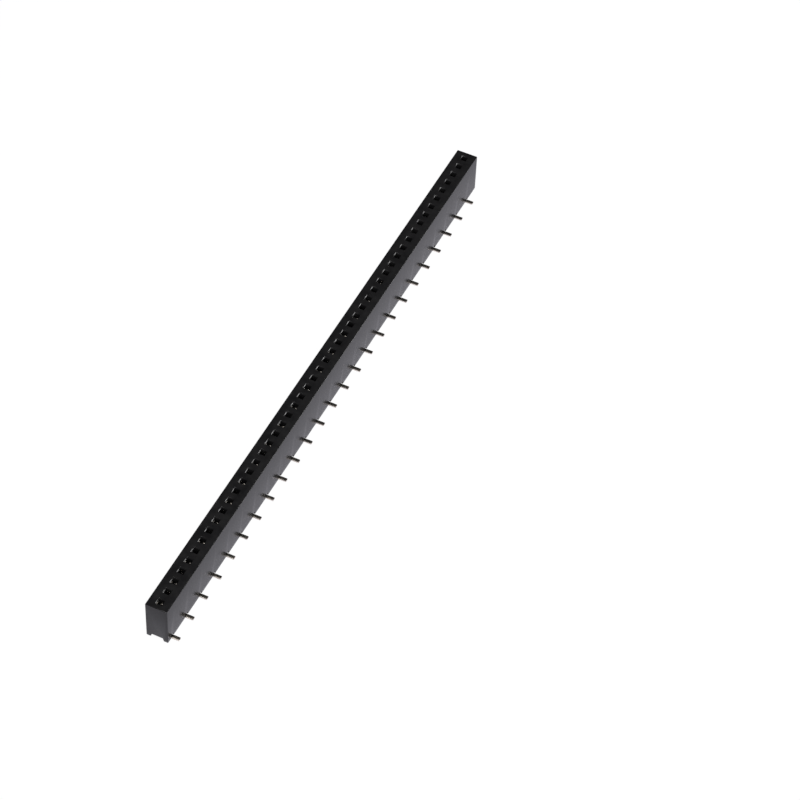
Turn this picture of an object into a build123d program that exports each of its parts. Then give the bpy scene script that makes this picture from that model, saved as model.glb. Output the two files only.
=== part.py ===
from build123d import *
import os

# Single-row female socket strip for surface mounting, 1.27 mm pitch, standing on its solder feet.
# Frame: X runs along the row from position 1 towards position 50, Y runs across it, Z is up.
# Z = 0 is the plane of the feet's undersides, the board's surface, and the origin is centred on the strip.
# The feet of odd positions leave towards -Y, those of even positions towards +Y.

# --- driving dimensions, millimetres ---
PITCH = 1.27
POSITIONS = 50
BODY_WIDTH = 2.15
END_ALLOWANCE = 0.2  # what the bar has beyond half a pitch at each end
BODY_HEIGHT = 4.3
STAND_OFF = 0.1
EDGE_CHAMFER = 0.05

# entry in the top face: a square hole with a shallow lead-in
ENTRY_THROAT = 0.54
ENTRY_MOUTH = 0.68
LEAD_IN_DEPTH = 0.10
ROOF_THICKNESS = 0.45

# chamber under each entry, where a contact sits
CHAMBER_X = 0.76
CHAMBER_Y = 1.1

# channel along the underside, between two rails that the feet pass through
CHANNEL_DEPTH = 0.35
RAIL_FOOT_WIDTH = 0.42
NOTCH_WIDTH = 0.46

# contact: one strip of sheet metal, bent
SHEET = 0.12
TAIL_WIDTH = 0.36
FOOT_REACH = 0.72
FOOT_BEND = 0.16
PLATE_BOTTOM = 0.6
PLATE_TOP = 1.6
SIDE_PLATE_LENGTH = 0.78
BEAM_WIDTH = 0.3
BEAM_RISE = 0.25
BEAM_GAP = 0.3
BEAM_BEND = 0.2
LIP_BEND = 0.06
LIP_START = 0.03
LIP_RISE = 0.06
CREST_DROP = 0.36
LONG_BEAM_TOP = 3.66
SHORT_BEAM_TOP = 3.1

# --- derived dimensions ---
LENGTH = PITCH * POSITIONS + 2 * END_ALLOWANCE
TOP = STAND_OFF + BODY_HEIGHT
CHANNEL_TOP = STAND_OFF + CHANNEL_DEPTH
ROOF_BOTTOM = TOP - ROOF_THICKNESS
HALF_BODY = BODY_WIDTH / 2
HALF_CHAMBER = CHAMBER_Y / 2
FIRST_X = -(POSITIONS - 1) * PITCH / 2
FOOT_TIP = HALF_BODY + FOOT_REACH


def socket_x(position):
    """Centre of a socket along the row, counted from 1."""
    return FIRST_X + (position - 1) * PITCH


def foot_sign(position):
    """Side that a position's foot leaves on: -1 towards -Y, 1 towards +Y."""
    return -1 if position % 2 else 1


def make_housing():
    """Moulded bar: chambers and entries from a grid, one notch in a rail for each foot."""
    channel_inner = HALF_BODY - RAIL_FOOT_WIDTH
    with BuildPart() as housing:
        with BuildSketch(Plane.YZ.offset(-LENGTH / 2)):
            with BuildLine():
                Polyline(
                    (-HALF_BODY, STAND_OFF),
                    (-channel_inner, STAND_OFF),
                    (-HALF_CHAMBER, CHANNEL_TOP),
                    (HALF_CHAMBER, CHANNEL_TOP),
                    (channel_inner, STAND_OFF),
                    (HALF_BODY, STAND_OFF),
                    (HALF_BODY, TOP),
                    (-HALF_BODY, TOP),
                    close=True,
                )
            make_face()
        extrude(amount=LENGTH)
        chamfer(housing.faces().sort_by(Axis.Z)[-1].edges(), EDGE_CHAMFER)

        with BuildSketch(Plane.XY.offset(CHANNEL_TOP)):
            with GridLocations(PITCH, 0, POSITIONS, 1):
                Rectangle(CHAMBER_X, CHAMBER_Y)
        extrude(amount=ROOF_BOTTOM - CHANNEL_TOP, mode=Mode.SUBTRACT)

        with BuildSketch(Plane.XY.offset(ROOF_BOTTOM)):
            with GridLocations(PITCH, 0, POSITIONS, 1):
                Rectangle(ENTRY_THROAT, ENTRY_THROAT)
        extrude(amount=ROOF_THICKNESS, mode=Mode.SUBTRACT)

        mouth_edges = (
            housing.faces()
            .sort_by(Axis.Z)[-1]
            .inner_wires()
            .edges()
        )
        chamfer(mouth_edges, LEAD_IN_DEPTH, (ENTRY_MOUTH - ENTRY_THROAT) / 2)

        with BuildSketch(Plane.XY.offset(STAND_OFF)):
            for position in range(1, POSITIONS + 1):
                side = foot_sign(position)
                with Locations((socket_x(position), side * (HALF_CHAMBER + HALF_BODY) / 2)):
                    Rectangle(NOTCH_WIDTH, HALF_BODY - HALF_CHAMBER)
        extrude(amount=CHANNEL_DEPTH, mode=Mode.SUBTRACT)
    return housing


def make_contact(position):
    """Bent sheet contact for one position, drawn with its foot towards -Y and turned round when it is even."""
    back = -HALF_CHAMBER
    plate_middle = CHAMBER_X / 2 - SHEET / 2
    with BuildPart() as contact:
        # back plate and side plates: a U in plan that fits the chamber's walls
        with BuildSketch(Plane.XY.offset(PLATE_BOTTOM)) as plan:
            with Locations((0, back + SIDE_PLATE_LENGTH / 2)):
                Rectangle(CHAMBER_X, SIDE_PLATE_LENGTH)
            fillet(plan.vertices().group_by(Axis.Y)[0], SHEET)
            with Locations((0, back + SHEET + SIDE_PLATE_LENGTH / 2)):
                Rectangle(CHAMBER_X - 2 * SHEET, SIDE_PLATE_LENGTH, mode=Mode.SUBTRACT)
        extrude(amount=PLATE_TOP - PLATE_BOTTOM)

        # tail and foot: the sheet's middle line runs down the back plate and turns outwards
        with BuildSketch(Plane.YZ):
            with BuildLine():
                FilletPolyline(
                    (back + SHEET / 2, PLATE_BOTTOM + SHEET),
                    (back + SHEET / 2, SHEET / 2),
                    (-FOOT_TIP, SHEET / 2),
                    radius=FOOT_BEND,
                )
            trace(line_width=SHEET)
        extrude(amount=TAIL_WIDTH / 2, both=True)

        # spring beams: each leans in to the pin and ends in a lip that turns outwards
        for side, top in ((1, LONG_BEAM_TOP), (-1, SHORT_BEAM_TOP)):
            crest_x = BEAM_GAP / 2 + SHEET / 2
            with BuildSketch(Plane.XZ):
                with BuildLine():
                    FilletPolyline(
                        (side * plate_middle, PLATE_TOP - SHEET),
                        (side * plate_middle, PLATE_TOP + BEAM_RISE),
                        (side * crest_x, top - CREST_DROP),
                        (side * (crest_x + LIP_START), top - LIP_RISE),
                        (side * plate_middle, top),
                        radius=[BEAM_BEND, BEAM_BEND, LIP_BEND],
                    )
                trace(line_width=SHEET)
            extrude(amount=BEAM_WIDTH / 2, both=True)
    turn = 0 if foot_sign(position) < 0 else 180
    contact.part.locate(Location((socket_x(position), 0, 0), (0, 0, turn)))
    return contact


os.makedirs("parts", exist_ok=True)

housing = make_housing()
housing.part.label = "housing"
export_step(housing.part, "parts/housing.step")

for position in range(1, POSITIONS + 1):
    contact = make_contact(position)
    contact.part.label = f"contact_{position:02d}"
    export_step(contact.part, f"parts/contact_{position:02d}.step")
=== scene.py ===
"""Looks of a surface-mount pin socket strip: a moulded insulator bar and its row of bent sheet contacts."""

import logging
import math
from collections.abc import Callable
from dataclasses import dataclass, field
from enum import Enum

import bmesh
import bpy
from mathutils import Matrix, Vector


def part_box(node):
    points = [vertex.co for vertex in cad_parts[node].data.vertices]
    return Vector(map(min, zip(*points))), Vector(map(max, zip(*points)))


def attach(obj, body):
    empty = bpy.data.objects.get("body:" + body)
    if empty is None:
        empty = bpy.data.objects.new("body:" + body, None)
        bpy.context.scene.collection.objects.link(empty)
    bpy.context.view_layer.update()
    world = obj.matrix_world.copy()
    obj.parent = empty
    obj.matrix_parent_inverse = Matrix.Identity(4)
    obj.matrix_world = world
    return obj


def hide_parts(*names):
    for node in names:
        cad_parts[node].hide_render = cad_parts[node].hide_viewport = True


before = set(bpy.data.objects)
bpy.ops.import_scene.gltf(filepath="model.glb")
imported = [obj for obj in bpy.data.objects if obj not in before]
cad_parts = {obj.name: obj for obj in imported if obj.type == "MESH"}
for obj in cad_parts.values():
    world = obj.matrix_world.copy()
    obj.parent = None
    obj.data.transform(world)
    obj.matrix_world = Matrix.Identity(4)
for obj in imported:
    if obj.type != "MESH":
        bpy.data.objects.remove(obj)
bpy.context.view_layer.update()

log = logging.getLogger("socket_strip")

MM = 0.001
BODY = "root"
EPS = 1e-3  # places this close are the same, in the unit of the moment
SENSOR = 36.0  # camera sensor's width, millimetres
WHITE = (1.0, 1.0, 1.0)


class Side(Enum):
    """The side of the row that a contact's foot leaves on."""

    RIGHT = -1
    LEFT = 1

    @classmethod
    def of(cls, position: int) -> "Side":
        """Gives the side for a position, counted from 1."""
        return cls.RIGHT if position % 2 else cls.LEFT


class Element(Enum):
    """What edit mode selects."""

    VERT = "VERT"
    EDGE = "EDGE"
    FACE = "FACE"


# --- shader expressions ---------------------------------------------------------------------------


class Value:
    """A number that varies over a surface. Arithmetic on it adds Math nodes to its graph."""

    def __init__(self, graph: "Graph", socket: bpy.types.NodeSocket) -> None:
        """Wraps a socket.

        Args:
            graph: the material's graph.
            socket: the output that holds the number.
        """
        self.graph = graph
        self.socket = socket

    def _math(self, operation: str, first: object, second: object, clamp: bool = False) -> "Value":
        """Adds one Math node and wraps its output."""
        settings = {"operation": operation, "use_clamp": clamp}
        return self.graph.node("ShaderNodeMath", settings, {0: first, 1: second})

    def __add__(self, other: object) -> "Value":
        """self + other."""
        return self._math("ADD", self, other)

    __radd__ = __add__

    def __sub__(self, other: object) -> "Value":
        """self - other."""
        return self._math("SUBTRACT", self, other)

    def __rsub__(self, other: object) -> "Value":
        """other - self."""
        return self._math("SUBTRACT", other, self)

    def __mul__(self, other: object) -> "Value":
        """self * other."""
        return self._math("MULTIPLY", self, other)

    __rmul__ = __mul__

    def clamped(self) -> "Value":
        """Keeps the number between 0 and 1."""
        return self._math("ADD", self, 0.0, clamp=True)


class Graph:
    """The nodes of one material or of the world."""

    def __init__(self, owner: bpy.types.Material | bpy.types.World, target: str) -> None:
        """Starts an empty graph.

        Args:
            owner: the material or world.
            target: the type of its output node.
        """
        owner.use_nodes = True
        self.tree = owner.node_tree
        self.tree.nodes.clear()
        self.output = self.tree.nodes.new(target)

    def node(
        self, kind: str, settings: dict | None = None, inputs: dict | None = None, out: int | str = 0
    ) -> Value:
        """Adds a node, sets it up, feeds it and wraps one output.

        Args:
            kind: the node's type name.
            settings: the node's properties, set first.
            inputs: socket name or index to a value, a Value or None.
            out: the output to wrap.

        Returns:
            The wrapped output.
        """
        made = self.tree.nodes.new(kind)
        for name, value in (settings or {}).items():
            setattr(made, name, value)
        for key, value in (inputs or {}).items():
            self.feed(made.inputs[key], value)
        return Value(self, made.outputs[out])

    def feed(self, socket: bpy.types.NodeSocket, value: object) -> None:
        """Links a Value to a socket, or sets a constant on it."""
        if isinstance(value, Value):
            self.tree.links.new(value.socket, socket)
        elif value is not None:
            socket.default_value = value

    def place(self) -> Value:
        """The point on the object, in metres."""
        return self.node("ShaderNodeTexCoord", out="Object")

    def stretched(self, scale: tuple[float, float, float]) -> Value:
        """The point on the object with each axis multiplied, for a pattern with a direction."""
        inputs = {"Vector": self.place(), "Scale": scale}
        return self.node("ShaderNodeMapping", {"vector_type": "POINT"}, inputs)

    def noise(self, point: Value, scale: float, detail: float = 2.0, rough: float = 0.5) -> Value:
        """Soft noise from 0 to 1."""
        inputs = {"Vector": point, "Scale": scale, "Detail": detail, "Roughness": rough}
        return self.node("ShaderNodeTexNoise", {"noise_dimensions": "3D"}, inputs, out="Fac")

    def ramp(self, value: Value, low: float, high: float) -> Value:
        """Maps low to 0 and high to 1, clamped."""
        inputs = {"Value": value, "From Min": low, "From Max": high}
        return self.node("ShaderNodeMapRange", {"clamp": True}, inputs)

    def blend(self, mask: Value | float, first: object, second: object) -> Value:
        """Mixes two colours."""
        inputs = {"Factor": mask, 6: first, 7: second}
        return self.node("ShaderNodeMix", {"data_type": "RGBA"}, inputs, out=2)

    def edge_mask(self, radius: float, turn: tuple[float, float]) -> Value:
        """1 along sharp edges and 0 on flats: how far a rounded normal turns from the true one.

        Args:
            radius: how far from an edge the mask reaches, metres.
            turn: one less the cosine of the turn, where the mask starts and where it is full.

        Returns:
            The mask.
        """
        rounded = self.node("ShaderNodeBevel", {"samples": 4}, {"Radius": radius}, out="Normal")
        true = self.node("ShaderNodeNewGeometry", out="True Normal")
        inputs = {0: rounded, 1: true}
        same = self.node("ShaderNodeVectorMath", {"operation": "DOT_PRODUCT"}, inputs, out="Value")
        return self.ramp(1.0 - same, *turn)

    def bump(self, height: Value, distance: float, strength: float) -> Value:
        """A Bump node for the shader's Normal."""
        inputs = {"Height": height, "Distance": distance, "Strength": strength}
        return self.node("ShaderNodeBump", None, inputs, out="Normal")

    def surface(self, shader: Value) -> None:
        """Ends the graph in its output."""
        self.feed(self.output.inputs["Surface"], shader)


def new_graph(name: str) -> tuple[bpy.types.Material, Graph]:
    """Makes a material with an empty graph."""
    material = bpy.data.materials.new(name)
    return material, Graph(material, "ShaderNodeOutputMaterial")


def rgba(colour: tuple[float, float, float]) -> tuple[float, float, float, float]:
    """Adds a full alpha to a colour."""
    return (*colour, 1.0)


# --- finishes -------------------------------------------------------------------------------------


@dataclass(frozen=True)
class MouldedBlack:
    """Black glass-filled thermoplastic, as it comes from a polished mould."""

    colour: tuple[float, float, float] = (0.0075, 0.0073, 0.0080)
    streak: tuple[float, float, float] = (0.016, 0.0155, 0.016)
    # lighter edge tone: partly rubbed wear, partly a painted highlight where rounded edges would catch the
    # light
    rubbed_and_highlight: tuple[float, float, float] = (0.030, 0.030, 0.031)
    roughness: float = 0.17
    roughness_spread: float = 0.09
    ior: float = 1.50
    cloud_scale: float = 420.0
    flow_scale: float = 1260.0
    flow_length: float = 0.16
    grain_scale: float = 26000.0
    grain_roughness: float = 0.04
    grain_depth: float = 0.002 * MM
    patch_range: tuple[float, float] = (0.35, 0.7)
    edge_radius: float = 0.06 * MM
    edge_turn: tuple[float, float] = (0.02, 0.25)
    # patchiness and strength of the lighter edges, which are partly wear and partly painted highlight
    wear_highlight_scale: float = 2520.0
    wear_highlight_range: tuple[float, float] = (0.3, 0.6)
    wear_highlight_share: float = 0.5

    def make(self) -> bpy.types.Material:
        """Builds the material.

        Returns:
            The material.
        """
        material, g = new_graph("moulded_black")
        point = g.place()
        # flow marks run down the walls, the way the mould was filled
        flow = g.noise(g.stretched((1.0, 1.0, self.flow_length)), self.flow_scale, 3.0, 0.6)
        clouds = g.noise(point, self.cloud_scale, 2.0)
        fibre = g.noise(point, self.grain_scale, 2.0, 0.7)
        edges = g.edge_mask(self.edge_radius, self.edge_turn)
        patchy = g.ramp(flow * 0.6 + clouds * 0.4, *self.patch_range)
        base = g.blend(patchy, rgba(self.colour), rgba(self.streak))
        # sharp edges turn lighter: partly rubbed wear, partly a painted highlight along the edges
        wear_and_highlight = edges * g.ramp(g.noise(point, self.wear_highlight_scale), *self.wear_highlight_range) * self.wear_highlight_share
        shader_inputs = {
            "Base Color": g.blend(wear_and_highlight, base, rgba(self.rubbed_and_highlight)),
            "Roughness": patchy * self.roughness_spread + self.roughness + fibre * self.grain_roughness,
            "IOR": self.ior,
            "Normal": g.bump(fibre * 0.5 + flow * 0.5, self.grain_depth, 0.25),
        }
        g.surface(g.node("ShaderNodeBsdfPrincipled", None, shader_inputs))
        return material


@dataclass(frozen=True)
class PlatedSheet:
    """Rolled copper alloy strip with a thin pale plating."""

    colour: tuple[float, float, float] = (0.77, 0.73, 0.67)
    warm: tuple[float, float, float] = (0.69, 0.62, 0.53)
    roughness: float = 0.17
    roughness_spread: float = 0.10
    line_scale: float = 9000.0
    line_length: float = 0.06
    line_depth: float = 0.001 * MM
    spot_scale: float = 2600.0
    tone_range: tuple[float, float] = (0.35, 0.68)

    def make(self) -> bpy.types.Material:
        """Builds the material.

        Returns:
            The material.
        """
        material, g = new_graph("plated_sheet")
        along = (1.0, self.line_length, self.line_length)
        rolled = g.noise(g.stretched(along), self.line_scale, 2.0, 0.6)
        spots = g.noise(g.place(), self.spot_scale, 2.0)
        tone = g.ramp(spots * 0.7 + rolled * 0.3, *self.tone_range)
        shader_inputs = {
            "Base Color": g.blend(tone, rgba(self.colour), rgba(self.warm)),
            "Metallic": 1.0,
            "Roughness": tone * self.roughness_spread + self.roughness,
            "Normal": g.bump(rolled, self.line_depth, 0.3),
        }
        g.surface(g.node("ShaderNodeBsdfPrincipled", None, shader_inputs))
        return material


@dataclass(frozen=True)
class ShearedEdge:
    """The cut edge of the sheet, where the bare alloy shows, part sheared bright and part torn rough."""

    colour: tuple[float, float, float] = (0.68, 0.59, 0.49)
    torn: tuple[float, float, float] = (0.50, 0.41, 0.32)
    roughness: float = 0.36
    roughness_spread: float = 0.2
    tear_scale: float = 14000.0
    tear_depth: float = 0.002 * MM
    tone_range: tuple[float, float] = (0.4, 0.62)

    def make(self) -> bpy.types.Material:
        """Builds the material.

        Returns:
            The material.
        """
        material, g = new_graph("sheared_edge")
        tear = g.noise(g.place(), self.tear_scale, 3.0, 0.7)
        tone = g.ramp(tear, *self.tone_range)
        shader_inputs = {
            "Base Color": g.blend(tone, rgba(self.colour), rgba(self.torn)),
            "Metallic": 1.0,
            "Roughness": tone * self.roughness_spread + self.roughness,
            "Normal": g.bump(tear, self.tear_depth, 0.5),
        }
        g.surface(g.node("ShaderNodeBsdfPrincipled", None, shader_inputs))
        return material


# --- studio ---------------------------------------------------------------------------------------


@dataclass(frozen=True)
class PaleFloor:
    """White sweep: it lights the object as a matt, slightly cool board does, and the camera sees white."""

    albedo: tuple[float, float, float] = (0.735, 0.72, 0.79)
    white: float = 1.03
    seen_share: float = 0.94
    gloss_share: float = 0.05

    def make(self) -> bpy.types.Material:
        """Builds the material.

        Returns:
            The material.
        """
        material, g = new_graph("pale_floor")
        board = g.node("ShaderNodeBsdfDiffuse", None, {"Color": rgba(self.albedo)})
        glow = g.node("ShaderNodeEmission", None, {"Color": rgba(WHITE), "Strength": self.white})
        camera = g.node("ShaderNodeLightPath", out="Is Camera Ray")
        glossy = g.node("ShaderNodeLightPath", out="Is Glossy Ray")
        through = g.node("ShaderNodeLightPath", out="Is Transmission Ray")
        share = camera * self.seen_share + (glossy + through) * self.gloss_share
        top = g.node("ShaderNodeMixShader", None, {0: share.clamped(), 1: board, 2: glow})
        below = g.node("ShaderNodeNewGeometry", out="Backfacing")
        clear = g.node("ShaderNodeBsdfTransparent")
        g.surface(g.node("ShaderNodeMixShader", None, {0: below, 1: top, 2: clear}))
        return material


@dataclass
class SoftLamp:
    """A square soft box that faces the strip.

    Args:
        name: the lamp's name.
        direction: where it hangs, as azimuth and elevation in degrees, seen from the strip.
        distance: how far off, metres.
        size: side, metres.
        power: watts.
    """

    name: str
    direction: tuple[float, float]
    distance: float
    size: float
    power: float

    def hang(self, target: Vector) -> None:
        """Adds the lamp, turned to its target."""
        azimuth, elevation = (math.radians(v) for v in self.direction)
        out = Vector((
            math.cos(azimuth) * math.cos(elevation),
            math.sin(azimuth) * math.cos(elevation),
            math.sin(elevation),
        ))
        data = bpy.data.lights.new(self.name, "AREA")
        data.shape, data.size, data.energy = "SQUARE", self.size, self.power
        lamp = bpy.data.objects.new(self.name, data)
        bpy.context.scene.collection.objects.link(lamp)
        lamp.location = target + out * self.distance
        lamp.rotation_euler = (-out).to_track_quat("-Z", "Y").to_euler()


@dataclass
class Studio:
    """Floor, lamps, dim room and camera."""

    floor_size: float = 1.6
    floor_gap: float = 0.002 * MM
    room_level: float = 0.03
    aim: tuple[float, float] = (2.87 * MM, -6.71 * MM)
    distance: float = 268.2 * MM
    azimuth: float = -66.45
    elevation: float = 48.49
    roll: float = 2.91
    lens: float = 128.5
    clip: tuple[float, float] = (0.01, 10.0)
    lamps: tuple[SoftLamp, ...] = (
        SoftLamp("key", (205.0, 62.0), 0.50, 0.34, 1.9),
        SoftLamp("overhead", (250.0, 80.0), 0.55, 0.22, 0.8),
        SoftLamp("rim", (-52.0, 20.0), 0.20, 0.06, 0.12),
    )

    def build(self) -> None:
        """Sets up everything that isn't the object."""
        self._lay_floor()
        self._fill_room()
        for lamp in self.lamps:
            lamp.hang(Vector((0.0, 0.0, 0.0)))
        self._place_camera()
        bpy.context.scene.view_settings.view_transform = "Standard"

    def _lay_floor(self) -> None:
        """Adds the floor just under the feet."""
        bpy.ops.object.select_all(action="DESELECT")
        bpy.ops.mesh.primitive_plane_add(size=self.floor_size, location=(0, 0, -self.floor_gap))
        floor = bpy.context.object
        floor.name = "floor"
        floor.data.materials.append(PaleFloor().make())

    def _fill_room(self) -> None:
        """Gives the world a dim room that the camera sees as white paper."""
        world = bpy.data.worlds.new("room")
        bpy.context.scene.world = world
        g = Graph(world, "ShaderNodeOutputWorld")
        camera = g.node("ShaderNodeLightPath", out="Is Camera Ray")
        dim = g.node("ShaderNodeBackground", None, {"Color": rgba(WHITE), "Strength": self.room_level})
        paper = g.node("ShaderNodeBackground", None, {"Color": rgba(WHITE), "Strength": 1.0})
        g.surface(g.node("ShaderNodeMixShader", None, {0: camera, 1: dim, 2: paper}))

    def _place_camera(self) -> None:
        """Adds the camera. Azimuth 0 looks along +Y and 90 along -X."""
        azimuth, elevation = math.radians(self.azimuth), math.radians(self.elevation)
        back = Vector((
            math.sin(azimuth) * math.cos(elevation),
            -math.cos(azimuth) * math.cos(elevation),
            math.sin(elevation),
        ))
        data = bpy.data.cameras.new("camera")
        data.lens, data.sensor_width = self.lens, SENSOR
        data.clip_start, data.clip_end = self.clip
        camera = bpy.data.objects.new("camera", data)
        bpy.context.scene.collection.objects.link(camera)
        level = (-back).to_track_quat("-Z", "Y").to_matrix()
        tilt = Matrix.Rotation(math.radians(self.roll), 3, "Z")
        place = Matrix.Translation(Vector((*self.aim, 0.0)) + back * self.distance)
        camera.matrix_world = place @ (level @ tilt).to_4x4()
        bpy.context.scene.camera = camera


# --- modelling bench ------------------------------------------------------------------------------


@dataclass(frozen=True)
class Near:
    """A test on a place: each coordinate that is given has to match.

    Args:
        x: the place's X, or None for any.
        y: the place's Y, or None for any.
        z: the place's Z, or None for any.
    """

    x: float | None = None
    y: float | None = None
    z: float | None = None

    def __call__(self, place: Vector) -> bool:
        """True where the place passes."""
        wanted = zip((self.x, self.y, self.z), place)
        return all(want is None or abs(want - real) < EPS for want, real in wanted)


Test = Callable[[Vector], bool]


class Bench:
    """One piece on the bench, shaped in edit mode, in millimetres until it is done."""

    def __init__(self, name: str) -> None:
        """Takes the new primitive that Blender has just added."""
        self.piece = bpy.context.object
        self.piece.name = name
        self.piece.data.name = name

    @classmethod
    def block(cls, name: str, low: Vector, high: Vector) -> "Bench":
        """Starts from a cube that fills a box.

        Args:
            name: the piece's name.
            low: lowest corner.
            high: highest corner.

        Returns:
            The bench, in edit mode.
        """
        bpy.ops.object.select_all(action="DESELECT")
        bpy.ops.mesh.primitive_cube_add(size=1.0)
        bench = cls(name)
        bench._fit((low + high) / 2, high - low)
        return bench

    @classmethod
    def plate(cls, name: str, low: Vector, high: Vector) -> "Bench":
        """Starts from an upright plane facing -Y that fills a flat box.

        Args:
            name: the piece's name.
            low: lowest corner.
            high: highest corner, at the same Y.

        Returns:
            The bench, in edit mode.
        """
        bpy.ops.object.select_all(action="DESELECT")
        bpy.ops.mesh.primitive_plane_add(size=1.0, rotation=(math.pi / 2, 0.0, 0.0))
        bench = cls(name)
        bench._fit((low + high) / 2, Vector((high.x - low.x, high.z - low.z, 1.0)))
        return bench

    def _fit(self, centre: Vector, size: Vector) -> None:
        """Gives the primitive its place and size and enters edit mode."""
        self.piece.location, self.piece.scale = centre, size
        bpy.ops.object.transform_apply(location=True, rotation=True, scale=True)
        bpy.ops.object.mode_set(mode="EDIT")

    def pick(self, element: Element, *tests: Test) -> "Bench":
        """Selects the elements whose middle passes any of the tests, and nothing else.

        Args:
            element: what is selected.
            tests: the tests.

        Returns:
            The bench, so that an operation can follow.
        """
        bpy.context.tool_settings.mesh_select_mode = [element is kind for kind in Element]
        mesh = bmesh.from_edit_mesh(self.piece.data)
        for group in (mesh.verts, mesh.edges, mesh.faces):
            for item in group:
                item.select = False
        chosen = {Element.VERT: mesh.verts, Element.EDGE: mesh.edges, Element.FACE: mesh.faces}[element]
        for item in chosen:
            if any(test(self._middle(item)) for test in tests):
                item.select_set(True)
        mesh.select_flush_mode()
        bmesh.update_edit_mesh(self.piece.data)
        return self

    @staticmethod
    def _middle(item: bmesh.types.BMVert | bmesh.types.BMEdge | bmesh.types.BMFace) -> Vector:
        """The middle of a vertex, edge or face."""
        if isinstance(item, bmesh.types.BMVert):
            return item.co
        if isinstance(item, bmesh.types.BMEdge):
            return (item.verts[0].co + item.verts[1].co) / 2
        return item.calc_center_bounds()

    def cut(self, axis: int, *places: float) -> "Bench":
        """Cuts the selected faces square to an axis.

        Args:
            axis: 0, 1 or 2.
            places: where, along that axis.

        Returns:
            The bench.
        """
        normal = Vector((0.0, 0.0, 0.0))
        normal[axis] = 1.0
        chosen = self._selected_faces()
        for place in places:
            self._select_within(chosen)
            bpy.ops.mesh.bisect(plane_co=normal * place, plane_no=normal, threshold=EPS)
        return self

    def _selected_faces(self) -> list[tuple[Vector, Vector]]:
        """The boxes of the selected faces, so that they can be found again after a cut."""
        mesh = bmesh.from_edit_mesh(self.piece.data)
        boxes = []
        for face in mesh.faces:
            if face.select:
                places = [v.co for v in face.verts]
                low = Vector(min(p[i] for p in places) - EPS for i in range(3))
                high = Vector(max(p[i] for p in places) + EPS for i in range(3))
                boxes.append((low, high))
        return boxes

    def _select_within(self, boxes: list[tuple[Vector, Vector]]) -> None:
        """Selects every face that lies in one of the boxes."""

        def inside(face: bmesh.types.BMFace, low: Vector, high: Vector) -> bool:
            """True where the whole face is in the box."""
            return all(low[i] <= v.co[i] <= high[i] for v in face.verts for i in range(3))

        mesh = bmesh.from_edit_mesh(self.piece.data)
        for face in mesh.faces:
            face.select_set(any(inside(face, low, high) for low, high in boxes))
        mesh.select_flush_mode()
        bmesh.update_edit_mesh(self.piece.data)

    def pull(self, move: tuple[float, float, float]) -> "Bench":
        """Extrudes the selected faces."""
        bpy.ops.mesh.extrude_region_move(TRANSFORM_OT_translate={"value": move})
        return self

    def pull_edges(self, move: tuple[float, float, float]) -> "Bench":
        """Extrudes the selected edges."""
        bpy.ops.mesh.extrude_edges_move(TRANSFORM_OT_translate={"value": move})
        return self

    def stretch(self, factors: tuple[float, float, float], centre: tuple[float, float, float]) -> "Bench":
        """Scales what is selected about a centre."""
        bpy.ops.transform.resize(value=factors, center_override=centre)
        return self

    def drop_faces(self) -> "Bench":
        """Deletes the selected faces and keeps their edges where others use them."""
        bpy.ops.mesh.delete(type="ONLY_FACE")
        return self

    def close(self) -> "Bench":
        """Fills the selected rim with one face."""
        bpy.ops.mesh.edge_face_add()
        return self

    def weld(self) -> "Bench":
        """Merges doubled vertices, drops loose ends and turns every face outwards."""
        bpy.ops.mesh.select_all(action="SELECT")
        bpy.ops.mesh.remove_doubles(threshold=EPS)
        bpy.ops.mesh.select_all(action="SELECT")
        bpy.ops.mesh.delete_loose()
        bpy.ops.mesh.select_all(action="SELECT")
        bpy.ops.mesh.normals_make_consistent(inside=False)
        return self

    def round_edges(self, radius: float, segments: int) -> "Bench":
        """Bevels the selected edges."""
        bpy.ops.mesh.bevel(
            offset=radius, offset_type="OFFSET", segments=segments, profile=0.5, affect="EDGES"
        )
        return self

    def leave(self) -> bpy.types.Object:
        """Goes back to object mode."""
        bpy.ops.object.mode_set(mode="OBJECT")
        return self.piece

    def modify(self, kind: str, **settings: object) -> "Bench":
        """Adds a modifier in object mode and applies it.

        Args:
            kind: the modifier's type.
            settings: its properties.

        Returns:
            The bench.
        """
        modifier = self.piece.modifiers.new(kind.lower(), kind)
        for name, value in settings.items():
            setattr(modifier, name, value)
        self.activate()
        bpy.ops.object.modifier_apply(modifier=modifier.name)
        return self

    def activate(self) -> None:
        """Makes this piece the only selected one."""
        bpy.ops.object.select_all(action="DESELECT")
        self.piece.select_set(True)
        bpy.context.view_layer.objects.active = self.piece

    def finish(self, smooth_angle: float) -> bpy.types.Object:
        """Turns millimetres into metres and smooths the rounded edges.

        Args:
            smooth_angle: faces that meet under this angle, in degrees, shade as one.

        Returns:
            The finished object, at the origin, unturned and unscaled.
        """
        self.activate()
        self.piece.scale = (MM, MM, MM)
        bpy.ops.object.transform_apply(location=True, rotation=True, scale=True)
        bpy.ops.object.shade_smooth_by_angle(angle=math.radians(smooth_angle))
        return self.piece


# --- the strip ------------------------------------------------------------------------------------


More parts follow.
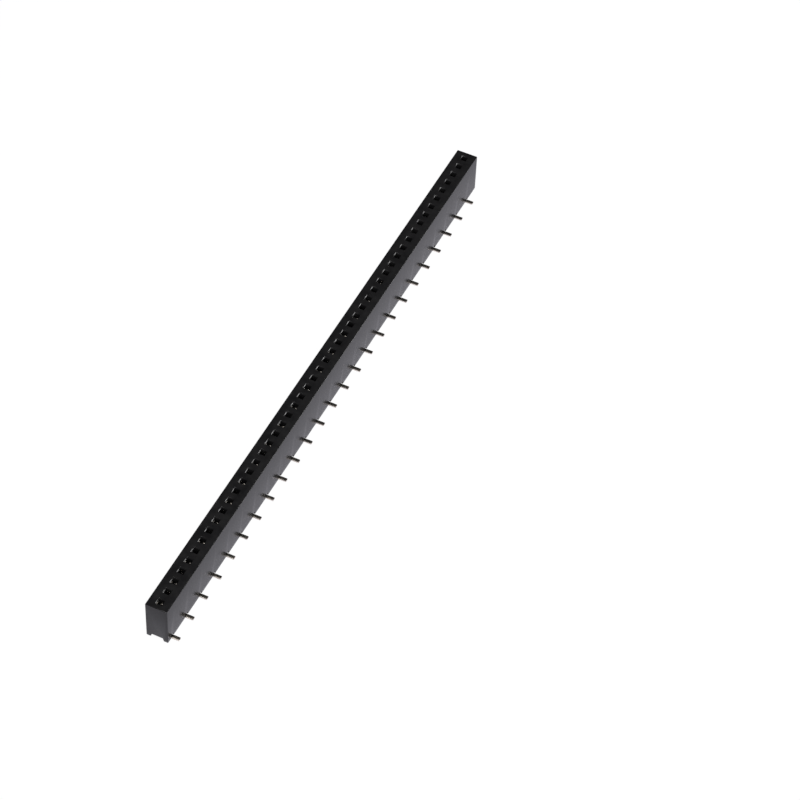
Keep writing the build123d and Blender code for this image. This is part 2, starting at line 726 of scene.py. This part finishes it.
@dataclass
class Insulator:
    """The moulded bar: one socket's cell, its mate with the notch on the other side, and the row of pairs.

    All sizes are millimetres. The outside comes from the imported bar.

    Args:
        pitch: from one socket to the next.
        positions: sockets in the row.
        mouth: side of the square entry at the top face.
        throat: side of the entry under its lead-in.
        lead_in: depth of the lead-in.
        roof: thickness of the plastic over a chamber.
        chamber: a chamber's width along and across the row.
        channel_rise: height of the channel along the underside.
        rail: width of each rail that the bar stands on.
        notch: width of a foot's way out through a rail.
        top_round: rounding of the top face's rim and the upright corners.
        small_round: rounding of every other edge.
        low: the bar's lowest corner.
        high: the bar's highest corner.
    """

    pitch: float = 1.27
    positions: int = 50
    mouth: float = 0.68
    throat: float = 0.54
    lead_in: float = 0.10
    roof: float = 0.45
    chamber: tuple[float, float] = (0.76, 1.1)
    channel_rise: float = 0.35
    rail: float = 0.42
    notch: float = 0.46
    top_round: float = 0.05
    small_round: float = 0.014
    low: Vector = field(default_factory=lambda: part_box("housing")[0] / MM)
    high: Vector = field(default_factory=lambda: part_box("housing")[1] / MM)

    def build(self) -> bpy.types.Object:
        """Models the bar.

        Returns:
            The finished object.
        """
        bench = self._cell()
        self._notch(bench)
        bench.weld()
        bench.leave()
        self._pair_up(bench)
        self._lay_row(bench)
        self._cap_ends(bench)
        self._round_outside(bench)
        bench.leave()
        bench.modify(
            "BEVEL",
            width=self.small_round,
            segments=2,
            limit_method="ANGLE",
            angle_limit=math.radians(34.0),
            use_clamp_overlap=True,
            miter_outer="MITER_SHARP",
        )
        return bench.finish(smooth_angle=32.0)

    def _cell(self) -> Bench:
        """Models one pitch of the bar round its middle: entry, chamber and channel, open at both ends."""
        half, width = self.pitch / 2, self.high.y
        top, foot = self.high.z, self.low.z
        ceiling = foot + self.channel_rise
        bench = Bench.block("insulator", Vector((-half, -width, foot)), Vector((half, width, top)))
        # entry: mouth, lead-in, throat
        inset = (self.pitch - self.mouth) / 2
        bench.pick(Element.FACE, Near(z=top))
        bpy.ops.mesh.inset(thickness=inset)
        left = 2 * width - 2 * inset
        bench.stretch((1.0, self.mouth / left, 1.0), (0.0, 0.0, top))
        narrow = self.throat / self.mouth
        bench.pull((0.0, 0.0, -self.lead_in)).stretch((narrow, narrow, 1.0), (0.0, 0.0, top))
        bench.pull((0.0, 0.0, self.lead_in - self.roof))
        # chamber under it
        bench.pull((0.0, 0.0, 0.0))
        wide, long = self.chamber
        bench.stretch((wide / self.throat, long / self.throat, 1.0), (0.0, 0.0, top))
        bench.pull((0.0, 0.0, ceiling - (top - self.roof)))
        # channel along the underside, its walls leaning in to the chamber
        inner = width - self.rail
        bench.pick(Element.FACE, Near(z=foot)).cut(1, -inner, inner)
        bench.pick(Element.FACE, Near(y=0.0, z=foot)).pull((0.0, 0.0, self.channel_rise))
        bench.stretch((1.0, long / 2 / inner, 1.0), (0.0, 0.0, foot))
        bench.pick(Element.FACE, Near(x=-half), Near(x=half)).drop_faces()
        bench.pick(Element.FACE, self._open_ceiling).cut(0, -wide / 2, wide / 2)
        bench.pick(Element.FACE, Near(x=0.0, y=0.0, z=ceiling)).drop_faces()
        return bench.weld()

    def _open_ceiling(self, place: Vector) -> bool:
        """True on the channel's ceiling and on the chamber's lower end."""
        return abs(place.z - self.low.z - self.channel_rise) < EPS and abs(place.y) < EPS

    def _notch(self, bench: Bench) -> None:
        """Opens the rail on the -Y side for a foot."""
        width, foot = self.high.y, self.low.z
        ceiling, inner, mouth = foot + self.channel_rise, self.high.y - self.rail, self.chamber[1] / 2
        half = self.notch / 2
        bench.pick(Element.FACE, Near(y=-width), Near(y=width)).cut(2, ceiling)
        middle = foot + self.channel_rise / 2
        rail = Near(y=-(width + inner) / 2, z=foot)
        slope = Near(y=-(inner + mouth) / 2, z=middle)
        wall = Near(y=-width, z=middle)
        chamber_wall = Near(x=0.0, y=-mouth, z=(ceiling + self.high.z - self.roof) / 2)
        bench.pick(Element.FACE, rail, slope, wall, chamber_wall).cut(0, -half, half)
        gone = [
            Near(x=0.0, y=-(width + inner) / 2, z=foot),
            Near(x=0.0, y=-(inner + mouth) / 2, z=middle),
            Near(x=0.0, y=-width, z=middle),
        ]
        bench.pick(Element.FACE, *gone).drop_faces()
        roof = [Near(x=s * half, y=y, z=ceiling) for s in (-1, 1) for y in (-width, -mouth)]
        bench.pick(Element.VERT, *roof).close()
        for s in (-1, 1):
            ring = [(-width, foot), (-width, ceiling), (-mouth, ceiling), (-inner, foot)]
            bench.pick(Element.VERT, *(Near(x=s * half, y=y, z=z) for y, z in ring)).close()

    def _pair_up(self, bench: Bench) -> None:
        """Joins the cell to a copy turned half round, one pitch along."""
        bench.activate()
        bpy.ops.object.duplicate()
        mate = bpy.context.object
        mate.rotation_euler.z = math.pi
        mate.location.x = self.pitch
        bpy.ops.object.transform_apply(location=True, rotation=True, scale=True)
        bench.piece.select_set(True)
        bpy.context.view_layer.objects.active = bench.piece
        bpy.ops.object.join()

    def _lay_row(self, bench: Bench) -> None:
        """Repeats the pair along the row and centres the row."""
        bench.piece.location.x = -(self.positions - 1) * self.pitch / 2
        bpy.ops.object.transform_apply(location=True, rotation=True, scale=True)
        bench.modify(
            "ARRAY", count=self.positions // 2, use_relative_offset=False, use_constant_offset=True,
            constant_offset_displace=(2 * self.pitch, 0.0, 0.0),
        )
        bench.activate()
        bpy.ops.object.mode_set(mode="EDIT")
        bench.weld()

    def _cap_ends(self, bench: Bench) -> None:
        """Carries the section on to the bar's ends and closes them."""
        reach = self.positions * self.pitch / 2
        for side in (-1, 1):
            move = (side * (self.high.x - reach), 0.0, 0.0)
            bench.pick(Element.EDGE, Near(x=side * reach)).pull_edges(move)
            bench.pick(Element.EDGE, Near(x=side * self.high.x)).close()
        bench.weld()

    def _round_outside(self, bench: Bench) -> None:
        """Rounds the rim of the top face and the four upright corners."""
        x, y, z = self.high

        def rim(place: Vector) -> bool:
            """True on the top face's rim."""
            at_side = abs(abs(place.x) - x) < EPS or abs(abs(place.y) - y) < EPS
            return at_side and abs(place.z - z) < EPS

        def corner(place: Vector) -> bool:
            """True on an upright corner."""
            return abs(abs(place.x) - x) < EPS and abs(abs(place.y) - y) < EPS and place.z < z

        bench.pick(Element.EDGE, rim, corner).round_edges(self.top_round, 3)


@dataclass
class ContactStrip:
    """One contact, bent from sheet: back plate, two side plates, a tail with its foot, and two beams.

    All sizes are millimetres and follow the sheet's middle, for a contact whose foot leaves to -Y.

    Args:
        sheet: the sheet's thickness.
        plate_half: half the distance between the side plates.
        plate_y: where the back plate stands.
        plate_z: the plates' lower and upper edge.
        side_end: how far the side plates reach in Y.
        corner_round: middle radius of the plates' corners.
        tail_half: half the tail's width.
        foot_z: height of the foot.
        foot_tip: where the foot ends in Y.
        foot_bend: middle radius of the bend over the foot.
        beam_half: half a beam's width.
        beam_straight: where a beam starts to lean in.
        crest_x: where a beam's crest is in X.
        crest_drop: from a lip's end down to where the crest starts.
        lip_start: how far the crest has turned out again where the lip starts.
        lip_rise: from a lip's end down to the lip's start.
        beam_bend: middle radius of a beam's bends.
        lip_bend: middle radius of the bend under the lip.
        beam_tops: each beam's side and the height of its lip's end.
        edge_round: rounding of the sheet's edges.
        tip_round: cut of the foot's corners.
    """

    sheet: float = 0.12
    plate_half: float = 0.32
    plate_y: float = -0.49
    plate_z: tuple[float, float] = (0.6, 1.6)
    side_end: float = 0.23
    corner_round: float = 0.06
    tail_half: float = 0.18
    foot_z: float = 0.06
    foot_tip: float = -1.795
    foot_bend: float = 0.16
    beam_half: float = 0.15
    beam_straight: float = 1.85
    crest_x: float = 0.21
    crest_drop: float = 0.36
    lip_start: float = 0.03
    lip_rise: float = 0.06
    beam_bend: float = 0.2
    lip_bend: float = 0.06
    beam_tops: tuple[tuple[int, float], ...] = ((1, 3.66), (-1, 3.1))
    edge_round: float = 0.012
    tip_round: float = 0.05

    def build(self) -> Bench:
        """Models the contact once, at the row's middle.

        Returns:
            The bench with the contact, in object mode and still in millimetres.
        """
        half, back, (low, high) = self.plate_half, self.plate_y, self.plate_z
        bench = Bench.plate("contact_pattern", Vector((-half, back, low)), Vector((half, back, high)))
        bench.pick(Element.FACE, Near(y=back)).cut(0, -self.tail_half, self.tail_half)
        middle = (low + high) / 2
        for side in (-1, 1):
            bench.pick(Element.EDGE, Near(x=side * half, y=back, z=middle))
            bench.pull_edges((0.0, self.side_end - back, 0.0))
            bench.pick(Element.FACE, Near(x=side * half)).cut(1, -self.beam_half, self.beam_half)
        self._draw_tail(bench)
        for side, top in self.beam_tops:
            self._draw_beam(bench, side, top)
        bench.pick(Element.EDGE, Near(x=-half, y=back, z=middle), Near(x=half, y=back, z=middle))
        bench.round_edges(self.corner_round, 3)
        bench.weld()
        bench.leave()
        bench.modify(
            "SOLIDIFY",
            thickness=self.sheet,
            offset=0.0,
            use_even_offset=True,
            use_rim=True,
            material_offset_rim=1,
        )
        return bench.modify(
            "BEVEL",
            width=self.edge_round,
            segments=2,
            limit_method="ANGLE",
            angle_limit=math.radians(50.0),
            use_clamp_overlap=True,
        )

    def _draw_tail(self, bench: Bench) -> None:
        """Draws the tail down from the back plate, the bend and the foot, and rounds the foot's tip."""
        back, low = self.plate_y, self.plate_z[0]
        bench.pick(Element.EDGE, Near(x=0.0, y=back, z=low))
        bench.pull_edges((0.0, 0.0, self.foot_z - low))
        bench.pick(Element.EDGE, Near(x=0.0, y=back, z=self.foot_z))
        bench.pull_edges((0.0, self.foot_tip - back, 0.0))
        bench.pick(Element.VERT, Near(y=self.foot_tip, z=self.foot_z))
        bpy.ops.mesh.bevel(offset=self.tip_round, offset_type="OFFSET", segments=2, affect="VERTICES")
        bench.pick(Element.EDGE, Near(x=0.0, y=back, z=self.foot_z)).round_edges(self.foot_bend, 6)

    def _draw_beam(self, bench: Bench, side: int, top: float) -> None:
        """Draws a beam up from a side plate: straight, leaning in to its crest, and out again at the lip.

        Args:
            bench: the contact's bench.
            side: 1 for the +X plate, -1 for the other.
            top: height of the lip's end.
        """
        path = [
            (self.plate_half, self.plate_z[1]),
            (self.plate_half, self.beam_straight),
            (self.crest_x, top - self.crest_drop),
            (self.crest_x + self.lip_start, top - self.lip_rise),
            (self.plate_half, top),
        ]
        for (x0, z0), (x1, z1) in zip(path, path[1:]):
            bench.pick(Element.EDGE, Near(x=side * x0, y=0.0, z=z0))
            bench.pull_edges((side * (x1 - x0), 0.0, z1 - z0))
        radii = (self.beam_bend, self.beam_bend, self.lip_bend)
        for (ax, az), (bx, bz), (cx, cz), radius in zip(path, path[1:], path[2:], radii):
            turn = Vector((bx - ax, bz - az)).angle(Vector((cx - bx, cz - bz)))
            bench.pick(Element.EDGE, Near(x=side * bx, y=0.0, z=bz))
            bench.round_edges(radius * math.tan(turn / 2), 4)


@dataclass
class SocketStrip:
    """The whole strip: bar and contacts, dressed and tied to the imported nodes."""

    insulator: Insulator = field(default_factory=Insulator)
    contact: ContactStrip = field(default_factory=ContactStrip)

    def build(self) -> None:
        """Models, dresses and places every piece."""
        plastic, sheet, cut_edge = (finish().make() for finish in (MouldedBlack, PlatedSheet, ShearedEdge))
        bar = self.insulator.build()
        bar.data.materials.clear()
        bar.data.materials.append(plastic)
        self._tie(bar, "housing", "insulator")
        pattern = self.contact.build()
        pattern.piece.data.materials.clear()
        pattern.piece.data.materials.append(sheet)
        pattern.piece.data.materials.append(cut_edge)
        for position in range(1, self.insulator.positions + 1):
            self._place_contact(pattern, position)
        bpy.data.objects.remove(pattern.piece)

    def _place_contact(self, pattern: Bench, position: int) -> None:
        """Copies the contact to a position, with its foot on that position's side.

        Args:
            pattern: the bench with the contact.
            position: counted from 1.
        """
        pattern.activate()
        bpy.ops.object.duplicate()
        copy = Bench(f"contact_strip_{position:02d}")
        first = -(self.insulator.positions - 1) * self.insulator.pitch / 2
        copy.piece.location.x = first + (position - 1) * self.insulator.pitch
        copy.piece.rotation_euler.z = 0.0 if Side.of(position) is Side.RIGHT else math.pi
        bpy.ops.object.transform_apply(location=True, rotation=True, scale=True)
        self._tie(copy.finish(smooth_angle=30.0), f"contact_{position:02d}", "contact")

    @staticmethod
    def _tie(piece: bpy.types.Object, node: str, slot: str) -> None:
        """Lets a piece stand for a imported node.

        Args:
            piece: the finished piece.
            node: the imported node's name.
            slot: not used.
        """
        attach(piece, BODY)
        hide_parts(node)
        log.info("%s stands for %s, %d faces", piece.name, node, len(piece.data.polygons))


def main() -> None:
    """Builds the strip and its studio."""
    logging.basicConfig(level=logging.INFO)
    SocketStrip().build()
    Studio().build()


if __name__ == "__main__":
    main()
